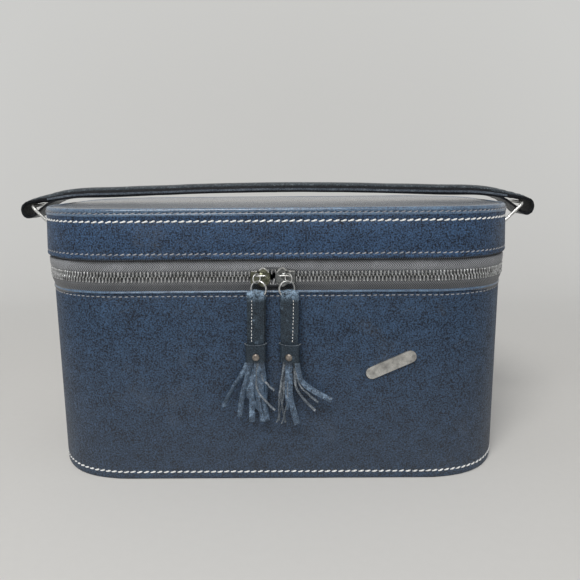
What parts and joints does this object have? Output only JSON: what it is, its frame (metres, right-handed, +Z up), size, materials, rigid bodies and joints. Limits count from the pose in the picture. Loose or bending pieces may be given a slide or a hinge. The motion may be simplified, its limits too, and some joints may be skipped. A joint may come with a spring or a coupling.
{
  "type": "cosmetic train case",
  "caption": "Rounded box-shaped cosmetic case with a zipped, hinged lid, a padded carrying strap on wire rings and tasselled zip pulls.",
  "frame": {"origin": "centre of the base's flat underside", "axes": "+X along the case's width, to the right seen from the front; +Y to the back, where the hinge is; +Z up"},
  "size_m": [0.3986, 0.1966, 0.2035],
  "materials": {
    "leatherette": "fine-grained slate blue, soft sheen",
    "tassel_leather": "thin dark blue leather, creased",
    "board": "pressed grey-brown fibreboard",
    "lining": "taupe-grey woven lining",
    "padding": "felt padding",
    "white_thread": "thick waxed cream thread",
    "tonal_thread": "blue-grey thread",
    "zip_tape": "taupe herringbone tape",
    "zip_metal": "antique nickel",
    "nickel": "aged nickel plate",
    "brass": "antique brass",
    "mirror": "silvered glass"
  },
  "bodies": {
    "case_body": {"badge_plate": "nickel", "base_board": "board", "base_cover": "leatherette", "base_lining": "lining", "base_stitching": "white_thread", "body_edge_stitching": "tonal_thread", "body_wall_board": "board", "body_wall_cover": "leatherette", "body_wall_lining": "lining", "hinge_panel_lower": "leatherette", "inner_pocket": "lining", "zip_end_stops": "zip_metal", "zip_tape_lower": "zip_tape", "zip_teeth_lower": "zip_metal"},
    "lid": {"hinge_panel_upper": "leatherette", "lid_wall_cover": "leatherette", "lid_wall_board": "board", "lid_wall_lining": "lining", "lid_top_board": "board", "lid_top_cover": "leatherette", "lid_top_lining": "lining", "lid_piping": "leatherette", "lid_edge_stitching": "tonal_thread", "lid_top_stitching": "white_thread", "zip_tape_upper": "zip_tape", "zip_teeth_upper": "zip_metal", "mirror_glass": "mirror", "mirror_border": "leatherette", "handle_tab_left": "leatherette", "handle_tab_right": "leatherette", "tab_rivets": "nickel"},
    "handle_grip": {"handle_lower_layer": "leatherette", "handle_padding": "padding", "handle_upper_layer": "leatherette"},
    "handle_end_left": {"handle_end_left": "leatherette"},
    "handle_end_right": {"handle_end_right": "leatherette"},
    "handle_ring_left": {"handle_ring_left": "nickel"},
    "handle_ring_right": {"handle_ring_right": "nickel"},
    "slider_left": {"slider_left": "zip_metal", "slider_bridge_left": "zip_metal"},
    "pull_link_left": {"pull_link_left": "zip_metal"},
    "pull_ring_left": {"pull_ring_left": "zip_metal"},
    "tassel_left": {"pull_strap_left": "tassel_leather", "tassel_collar_left": "tassel_leather", "tassel_stud_left": "brass", "tassel_fringe_left": "tassel_leather"},
    "slider_right": {"slider_right": "zip_metal", "slider_bridge_right": "zip_metal"},
    "pull_link_right": {"pull_link_right": "zip_metal"},
    "pull_ring_right": {"pull_ring_right": "zip_metal"},
    "tassel_right": {"pull_strap_right": "tassel_leather", "tassel_collar_right": "tassel_leather", "tassel_stud_right": "brass", "tassel_fringe_right": "tassel_leather"}
  },
  "joints": [
    {"name": "lid_hinge", "type": "hinge", "parent": "case_body", "child": "lid", "pos_m": [0, 0.0926, 0.144], "axis": [-1, 0, 0], "range_deg": [0, 105]},
    {"name": "handle_lift", "type": "slide", "parent": "lid", "child": "handle_grip", "axis": [0, 0, 1], "range_m": [0, 0.02]},
    {"name": "handle_ring_left_hinge", "type": "hinge", "parent": "lid", "child": "handle_ring_left", "pos_m": [-0.1696, 0, 0.1665], "axis": [0, 1, 0], "range_deg": [0, 8.11]},
    {"name": "handle_end_left_bend", "type": "hinge", "parent": "handle_grip", "child": "handle_end_left", "pos_m": [-0.1083, 0, 0.19384], "axis": [0, -1, 0], "range_deg": [0, 12.63]},
    {"name": "slider_left_travel", "type": "slide", "parent": "case_body", "child": "slider_left", "axis": [-1, 0, 0], "range_m": [0, 0.088]},
    {"name": "pull_link_left_swing", "type": "hinge", "parent": "slider_left", "child": "pull_link_left", "pos_m": [-0.01065, -0.0961, 0.1452], "axis": [-1, 0, 0], "range_deg": [0, 60]},
    {"name": "pull_ring_left_swing", "type": "hinge", "parent": "pull_link_left", "child": "pull_ring_left", "pos_m": [-0.01065, -0.09703, 0.1421], "axis": [-1, 0, 0], "range_deg": [0, 40]},
    {"name": "tassel_left_swing", "type": "hinge", "parent": "pull_ring_left", "child": "tassel_left", "pos_m": [-0.01065, -0.09703, 0.1316], "axis": [-1, 0, 0], "range_deg": [0, 50]},
    {"name": "handle_ring_right_hinge", "type": "hinge", "parent": "lid", "child": "handle_ring_right", "pos_m": [0.1696, 0, 0.1665], "axis": [0, -1, 0], "range_deg": [0, 8.11]},
    {"name": "handle_end_right_bend", "type": "hinge", "parent": "handle_grip", "child": "handle_end_right", "pos_m": [0.1083, 0, 0.19384], "axis": [0, 1, 0], "range_deg": [0, 12.63]},
    {"name": "slider_right_travel", "type": "slide", "parent": "case_body", "child": "slider_right", "axis": [1, 0, 0], "range_m": [0, 0.088]},
    {"name": "pull_link_right_swing", "type": "hinge", "parent": "slider_right", "child": "pull_link_right", "pos_m": [0.00835, -0.0961, 0.1452], "axis": [-1, 0, 0], "range_deg": [0, 60]},
    {"name": "pull_ring_right_swing", "type": "hinge", "parent": "pull_link_right", "child": "pull_ring_right", "pos_m": [0.00835, -0.09703, 0.1421], "axis": [-1, 0, 0], "range_deg": [0, 40]},
    {"name": "tassel_right_swing", "type": "hinge", "parent": "pull_ring_right", "child": "tassel_right", "pos_m": [0.00835, -0.09703, 0.1316], "axis": [-1, 0, 0], "range_deg": [0, 50]}
  ],
  "couplings": [
    {"joint": "handle_ring_left_hinge", "follows": "handle_lift", "rad_per_m": 6.9},
    {"joint": "handle_end_left_bend", "follows": "handle_lift", "rad_per_m": 10.85},
    {"joint": "handle_ring_right_hinge", "follows": "handle_lift", "rad_per_m": 6.9},
    {"joint": "handle_end_right_bend", "follows": "handle_lift", "rad_per_m": 10.85}
  ]
}
